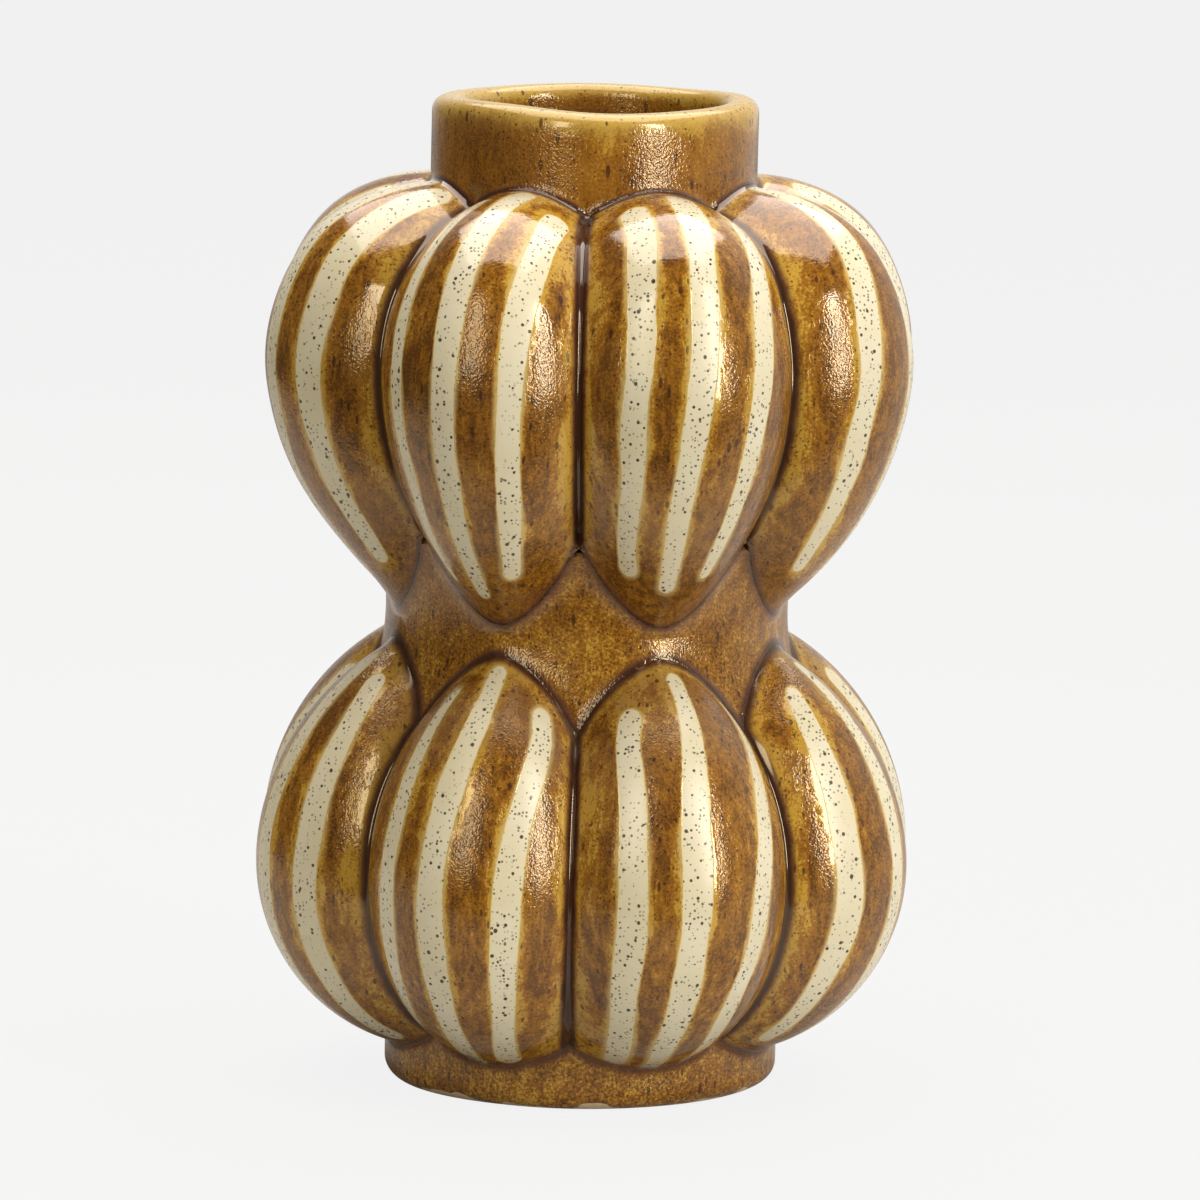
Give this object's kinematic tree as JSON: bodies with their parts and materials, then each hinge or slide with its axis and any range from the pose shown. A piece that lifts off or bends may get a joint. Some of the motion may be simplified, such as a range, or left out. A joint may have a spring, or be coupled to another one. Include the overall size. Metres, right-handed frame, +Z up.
{
  "type": "stoneware vase",
  "caption": "Glazed stoneware vase with two tiers of bulging lobes drawn in to a narrow waist, a collared mouth and a foot ring.",
  "frame": {"origin": "centre of the foot, on the plane it stands on", "axes": "+Z up along the axis of the vase; a crease between two lobes faces -Y, the front"},
  "size_m": [0.1582, 0.1582, 0.24],
  "materials": {
    "lobe_glaze": "glossy amber-brown glaze over speckled clay, with cream slip stripes down each lobe",
    "collar_glaze": "glossy amber-brown glaze, thin and yellow on the rim",
    "band_glaze": "glossy amber-brown glaze, darker where it gathers",
    "foot_glaze": "glossy amber-brown glaze, wiped off the face it stands on",
    "bare_clay": "bare fired stoneware, matt and pale, under the base"
  },
  "bodies": {
    "root": {"neck_collar": "collar_glaze", "waist_band": "band_glaze", "foot_ring": "foot_glaze", "base_disc": "bare_clay", "upper_lobe_1": "lobe_glaze", "upper_lobe_2": "lobe_glaze", "upper_lobe_3": "lobe_glaze", "upper_lobe_4": "lobe_glaze", "upper_lobe_5": "lobe_glaze", "upper_lobe_6": "lobe_glaze", "upper_lobe_7": "lobe_glaze", "upper_lobe_8": "lobe_glaze", "lower_lobe_1": "lobe_glaze", "lower_lobe_2": "lobe_glaze", "lower_lobe_3": "lobe_glaze", "lower_lobe_4": "lobe_glaze", "lower_lobe_5": "lobe_glaze", "lower_lobe_6": "lobe_glaze", "lower_lobe_7": "lobe_glaze", "lower_lobe_8": "lobe_glaze"}
  },
  "joints": []
}
